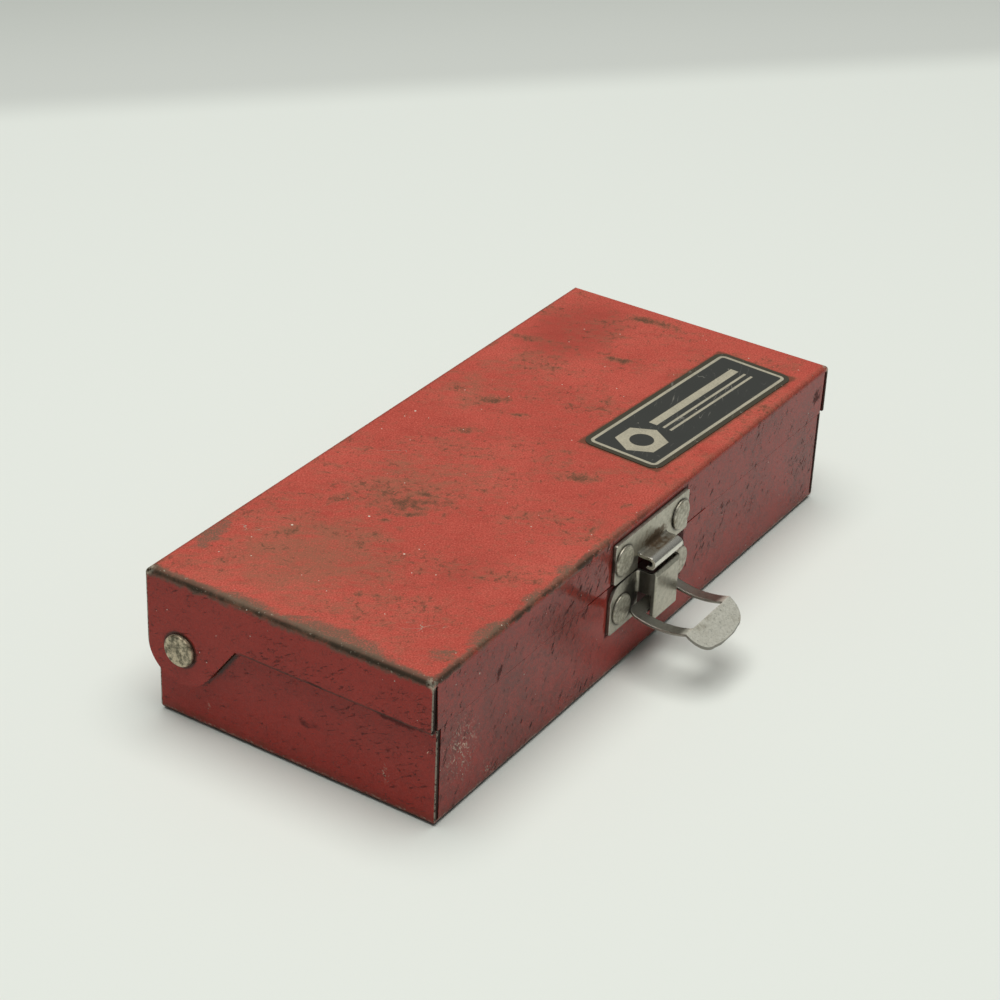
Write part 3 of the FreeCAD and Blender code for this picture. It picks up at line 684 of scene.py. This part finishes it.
def latch_steel():
    """The latch's two plates: rust on the shelf, a polished bead with a painted highlight, painted shade
    in and beside the hat.
    """
    g, colour, roughness, height, rounded = aged_steel(
        "latch_steel", (0.53, 0.50, 0.42), (0.34, 0.32, 0.26), (0.22, 0.18, 0.12), 1.2, 0.26, 0.7)
    fray = (g.noise(1.4, 4.0, seed=26) - 0.5) * 1.4
    on_plate = g.step(g.y, PLATE_FACE - 0.9, PLATE_FACE - 0.3)
    shelf = g.step(g.y, BEAD_FRONT, BEAD_BACK)
    rust = g.step(g.marks(1, SHELF_RUST) + fray, 0.35, 0.95, 0.0, 0.9) * shelf
    colour = g.mix(rust, colour, RUST)
    colour = g.mix(rivet_rings(g, LATCH_RIVETS) * 0.7, colour, CORNER_SHADE_AND_GRIME)
    # Painted highlight, partly polish: the bead made brighter
    bead = g.step(g.y, BEAD_BACK, BEAD_FRONT) * g.step(g.z, STRIKE_FOOT, STRIKE_FOOT + 0.6)
    colour = g.mix(bead * 0.6, colour, POLISH_AND_HIGHLIGHT)

    left, right = HAT_SIDES
    # Painted shade on the hat's side walls
    near_wall = g.step(abs(g.x - left) & abs(g.x - right), 0.9, 0.55)
    off_plate = g.step(g.y, PLATE_FACE - 0.3, PLATE_FACE - 0.9)
    walls = near_wall * off_plate * g.step(g.z, KEEPER_END, KEEPER_END - 0.4)
    shade = g.step(g.marks(1, HAT_SHADE) + fray * 0.5, 0.3, 1.0, 0.0, 0.85)
    dark = walls * 0.85 | shade * on_plate
    colour = g.mix(dark, colour, CORNER_SHADE_AND_GRIME)
    roughness = roughness + rust * 0.2 + dark * 0.2 - bead * 0.14
    return g.finish(colour, roughness, 0.85, height, normal=rounded)


def lever_steel():
    """The lever: tarnished arms, and a bright tab with dark specks and painted shade on its cut edge."""
    g, colour, roughness, height, rounded = aged_steel(
        "lever_steel", (0.88, 0.87, 0.77), (0.62, 0.61, 0.51), (0.40, 0.37, 0.28), 0.7, 0.3, 0.4)
    arms = g.step(g.y, TAB_ROOT, TAB_ROOT + 2.5)
    colour = g.mix(arms * 0.65, colour, TARNISH_AND_SHADE)
    specks = g.step(g.noise(0.55, 3.0, 0.7, seed=28), 0.60, 0.68)
    # Painted shade: the tab's side faces, which face neither up nor down, made darker
    facing = g.split(Value(g, g.node("ShaderNodeTexCoord").outputs["Normal"]))[2]
    cut = g.step(abs(facing), 0.55, 0.25) * (1.0 - arms)
    colour = g.mix(specks * 0.55 | cut * 0.8, colour, TARNISH_AND_SHADE)
    metallic = g.step(arms, 0.0, 1.0, 0.5, 0.9)
    return g.finish(colour, roughness, metallic, height * 0.6, normal=rounded)


def rivet_steel():
    """The latch's rivets, greyer than its plates."""
    g, colour, roughness, height, rounded = aged_steel(
        "rivet_steel", (0.58, 0.55, 0.46), (0.28, 0.26, 0.20), (0.19, 0.15, 0.09), 1.0)
    return g.finish(colour, roughness + 0.1, 0.75, height, normal=rounded)


def hinge_steel():
    """The hinge's rivets and washers, brassy and blotched with dark."""
    g, colour, roughness, height, rounded = aged_steel(
        "hinge_steel", (0.66, 0.57, 0.40), (0.13, 0.115, 0.07), (0.10, 0.085, 0.05), 1.8, 0.10)
    return g.finish(colour, roughness + 0.15, 0.45, height, normal=rounded)


# ---- label ----

PRINT_SOFTNESS = 0.09
# The nut: its place along the label, half its width across the flats, the radius of its hole, and the
# direction that its slanting flats face
NUT_PLACE = -21.0
NUT_HALF = 5.6
NUT_HOLE = 3.0
NUT_FLAT = (0.866, 0.5)
NUT_SOFTNESS = 0.1
# The rules: their middle and half length along the label, and for each its middle and half width
RULE_MIDDLE = 6.0
RULE_HALF = 18.5
RULES = ((2.5, 1.15), (-0.6, 0.35), (-2.6, 0.35))


def rounded_inside(g, u, v, half_u, half_v, radius):
    """How far inside a rounded rectangle a point is."""
    across, along = abs(u) - (half_u - radius), abs(v) - (half_v - radius)
    over_u, over_v = across | 0.0, along | 0.0
    outside = g.length(over_u, over_v)
    return radius - outside - ((across | along) & 0.0)


def within(g, distance, half, soft):
    """1 where a distance is under a half width, with a soft rim."""
    return g.step(distance, half + soft, half - soft)


def label_print(g, u, v, inside):
    """The label's printed design: a keyline, a nut and rules."""
    soft, outer = PRINT_SOFTNESS, LABEL_BORDER + LABEL_KEYLINE
    keyline = g.step(inside, LABEL_BORDER - soft, LABEL_BORDER + soft) * within(g, inside, outer, soft)
    nut_u, nut_v = abs(u - NUT_PLACE), abs(v)
    across_flats = (nut_u * NUT_FLAT[0] + nut_v * NUT_FLAT[1]) | nut_v
    hole = g.length(nut_u, nut_v)
    nut = within(g, across_flats, NUT_HALF, NUT_SOFTNESS)
    nut = nut * g.step(hole, NUT_HOLE - NUT_SOFTNESS, NUT_HOLE + NUT_SOFTNESS)
    rules = None
    for middle, half in RULES:
        rule = within(g, abs(u - RULE_MIDDLE), RULE_HALF, soft)
        rule = rule * within(g, abs(v - middle), half, soft)
        rules = rule if rules is None else rules | rule
    return keyline | nut | rules


def label_foil():
    """Dark printed foil, rubbed and scratched."""
    g = Graph("label_foil")
    low, high = corners("label_plate")
    u, v, _ = g.split(g.placed((low + high) / 2, turn=(0, 0, LABEL_TURN)))
    inside = rounded_inside(g, u, v, LABEL_SIZE[0] / 2, LABEL_SIZE[1] / 2, LABEL_RADIUS)
    printed = label_print(g, u, v, inside)

    fine = g.noise(0.5, 3.0, 0.65, seed=31)
    cloud = g.noise(6.0, 5.0, 0.62, seed=32)
    worn = g.step(fine * 0.6 + cloud * 0.5, 0.42, 0.7, 1.0, 0.72)
    scratch = g.lines(5.0, 0.010, (3.0, 0.7, 1), (0, 0, 25), 33) * g.step(cloud, 0.5, 0.65)
    colour = g.mix(g.step(inside, LABEL_BORDER - 0.2, LABEL_BORDER), LABEL_RIM, CHARCOAL)
    colour = g.mix(printed * worn, colour, CREAM)
    colour = g.mix(scratch * 0.45, colour, LABEL_SCRATCH)
    colour = g.mix(g.flecks(2.4, 0.09, 0.4, seed=34), colour, LABEL_FLECK)
    roughness = 0.34 + cloud * 0.2 + scratch * 0.2
    height = fine * 0.006 + printed * 0.012
    return g.finish(colour, roughness, 0.0, height, 0.35)


# ---- stage, in metres ----

FLOOR_REACH = 4.0
FLOOR_PALE = (0.755, 0.795, 0.755)
FLOOR_EDGE = (0.60, 0.63, 0.60)
FLOOR_FAR = (0.48, 0.51, 0.48)
FLOOR_BOUNCE = (0.55, 0.55, 0.54)
# A point that the floor gets darker behind, the direction that is behind it, and how far behind it the
# two steps of that start and end, in millimetres
FLOOR_TURN = (184.4, 278.0)
FLOOR_BEHIND = (0.684, 0.729)
FLOOR_FIRST = (-14.0, 16.0)
FLOOR_SECOND = (5.0, 190.0)
LAMP_PLACE = (-0.03, 0.0, 1.6)
LAMP_SIZE = 1.5
LAMP_POWER = 26.5
LAMP_COLOUR = (1.0, 0.985, 0.95)
SKY_COLOUR = (0.97, 1.0, 0.99, 1.0)
SKY_RISE = {"From Min": 0.0, "From Max": 0.9, "To Min": 0.10, "To Max": 0.22}
# The camera, solved from the box's edges in the photograph: its sensor and lens are in millimetres
CAMERA_PLACE = (-0.45237, -0.27896, 0.33744)
CAMERA_TURN = (59.6269, -2.1509, -56.7756)
CAMERA_SENSOR = 36
CAMERA_LENS = 92.834


def make_floor():
    """Pale floor that the camera sees brighter than it lights the box."""
    reach = FLOOR_REACH
    square = [(-reach, -reach, 0), (reach, -reach, 0), (reach, reach, 0), (-reach, reach, 0)]
    mesh = bpy.data.meshes.new("floor")
    mesh.from_pydata(square, [], [(0, 1, 2, 3)])
    floor = bpy.data.objects.new("floor", mesh)
    bpy.context.scene.collection.objects.link(floor)
    g = Graph("floor")
    away = (g.x - FLOOR_TURN[0]) * FLOOR_BEHIND[0] + (g.y - FLOOR_TURN[1]) * FLOOR_BEHIND[1]
    seen_colour = g.mix(g.step(away, *FLOOR_FIRST), FLOOR_PALE, FLOOR_EDGE)
    seen_colour = g.mix(g.step(away, *FLOOR_SECOND), seen_colour, FLOOR_FAR)
    path = g.node("ShaderNodeLightPath")
    camera, glossy, through = [Value(g, path.outputs[name]) for name in
                               ("Is Camera Ray", "Is Glossy Ray", "Is Transmission Ray")]
    colour = g.mix(camera | glossy | through, FLOOR_BOUNCE, seen_colour)
    mesh.materials.append(g.finish(colour, 0.7, 0.0, g.noise(1.2, 3.0) * 0.01, 0.15))


def make_lights():
    """One wide lamp overhead, and a weak sky that gets brighter upwards."""
    data = bpy.data.lights.new("overhead", "AREA")
    data.shape = "DISK"
    data.size = LAMP_SIZE
    data.energy = LAMP_POWER
    data.color = LAMP_COLOUR
    lamp = bpy.data.objects.new("overhead", data)
    lamp.location = LAMP_PLACE
    lamp.rotation_euler = (-lamp.location).to_track_quat("-Z", "Y").to_euler()
    bpy.context.scene.collection.objects.link(lamp)

    world = bpy.data.worlds.new("world")
    bpy.context.scene.world = world
    world.use_nodes = True
    tree = world.node_tree
    direction = tree.nodes.new("ShaderNodeTexCoord")
    split = tree.nodes.new("ShaderNodeSeparateXYZ")
    ramp = tree.nodes.new("ShaderNodeMapRange")
    ramp.interpolation_type = "SMOOTHSTEP"
    for name, value in SKY_RISE.items():
        ramp.inputs[name].default_value = value
    tree.links.new(direction.outputs["Generated"], split.inputs[0])
    tree.links.new(split.outputs[2], ramp.inputs["Value"])
    tree.links.new(ramp.outputs[0], tree.nodes["Background"].inputs["Strength"])
    tree.nodes["Background"].inputs["Color"].default_value = SKY_COLOUR


def make_camera():
    """The camera where the photograph was taken from."""
    camera = bpy.data.objects.new("camera", bpy.data.cameras.new("camera"))
    camera.data.sensor_width = CAMERA_SENSOR
    camera.data.lens = CAMERA_LENS
    camera.location = CAMERA_PLACE
    camera.rotation_euler = Euler([math.radians(angle) for angle in CAMERA_TURN])
    bpy.context.scene.collection.objects.link(camera)
    bpy.context.scene.camera = camera


# ---- the scene ----

def dress():
    """Gives every solid the finish of its material slot."""
    finishes = {"lid_paint": lid_paint, "base_paint": base_paint, "latch_steel": latch_steel,
                "lever_steel": lever_steel, "rivet_steel": rivet_steel, "hinge_steel": hinge_steel,
                "label_foil": label_foil}
    made = {slot: make() for slot, make in finishes.items()}
    for part in frame["record"]["subparts"]:
        node = frame["nodes"][part["node"]]
        node.data.materials.clear()
        node.data.materials.append(made[part["material_slot"]])


dress()
make_floor()
make_lights()
make_camera()
bpy.context.scene.view_settings.view_transform = "Standard"
